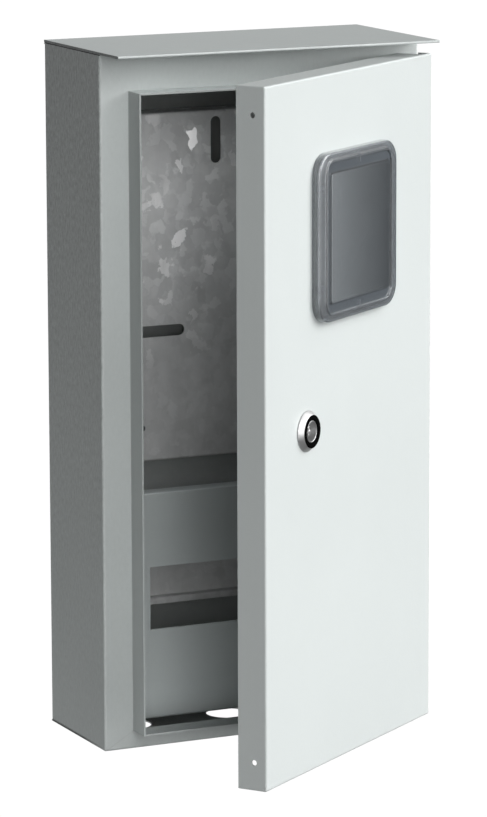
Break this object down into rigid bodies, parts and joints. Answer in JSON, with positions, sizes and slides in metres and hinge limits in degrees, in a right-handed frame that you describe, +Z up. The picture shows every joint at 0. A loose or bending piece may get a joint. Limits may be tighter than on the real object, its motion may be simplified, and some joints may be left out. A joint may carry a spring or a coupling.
{
  "type": "meter and module enclosure",
  "caption": "Wall-hung sheet-steel electrical enclosure with a rain canopy, hinged door, smoky meter window, quarter-turn lock, meter plate and module rail.",
  "frame": {"origin": "centre of the four wall holes, on the back's outer face", "axes": "+Z up, +Y into the wall, +X to the right seen from the front"},
  "size_m": [0.2525, 0.2579, 0.5018],
  "materials": {
    "paint_grey": "fine-textured powder coat, pale grey",
    "paint_door": "smooth powder coat, pale grey",
    "paint_inner": "powder coat, grey",
    "galvanised": "spangled zinc",
    "zinc_plated": "bright zinc plate",
    "smoky_plastic": "translucent smoky grey, polished",
    "black_plastic": "black, satin",
    "black_rubber": "black foam rubber, closed cell",
    "chrome_plated": "chrome plate",
    "brass_earth": "plain brass"
  },
  "bodies": {
    "body": {"body_wrap": "paint_grey", "bottom_panel": "paint_grey", "top_panel": "paint_grey", "rain_canopy": "paint_grey", "hinge_bracket_upper": "paint_grey", "hinge_bracket_lower": "paint_grey", "module_cover": "paint_inner", "cover_support_left": "paint_inner", "cover_support_right": "paint_inner", "meter_plate": "galvanised", "din_rail": "galvanised", "rail_bracket_left": "galvanised", "rail_bracket_right": "galvanised", "plate_studs": "zinc_plated", "plate_washers": "zinc_plated", "plate_nuts": "zinc_plated", "rail_screws": "zinc_plated", "cover_screws": "zinc_plated", "hinge_pin_upper": "zinc_plated", "hinge_pin_lower": "zinc_plated", "body_earth_stud": "zinc_plated", "body_earth_washers": "brass_earth", "body_earth_nuts": "brass_earth"},
    "door": {"door_panel": "paint_door", "door_gasket": "black_rubber", "window": "smoky_plastic", "window_seal": "black_rubber", "lock_housing": "chrome_plated", "lock_ring": "black_plastic", "lock_nut": "zinc_plated", "door_lug_upper": "paint_door", "door_lug_lower": "paint_door", "door_earth_stud": "zinc_plated", "door_earth_washers": "brass_earth", "door_earth_nuts": "brass_earth"},
    "lock": {"lock_insert": "chrome_plated", "lock_cam": "zinc_plated", "cam_washer": "zinc_plated", "cam_screw": "zinc_plated"}
  },
  "joints": [
    {"name": "door_hinge", "type": "hinge", "parent": "body", "child": "door", "pos_m": [0.1145, -0.1115, 0], "axis": [0, 0, 1], "range_deg": [-35.6, 62]},
    {"name": "lock_turn", "type": "hinge", "parent": "door", "child": "lock", "pos_m": [-0.03902, -0.20542, -0.0032], "axis": [-0.5821, 0.8131, 0], "range_deg": [0, 90]}
  ]
}
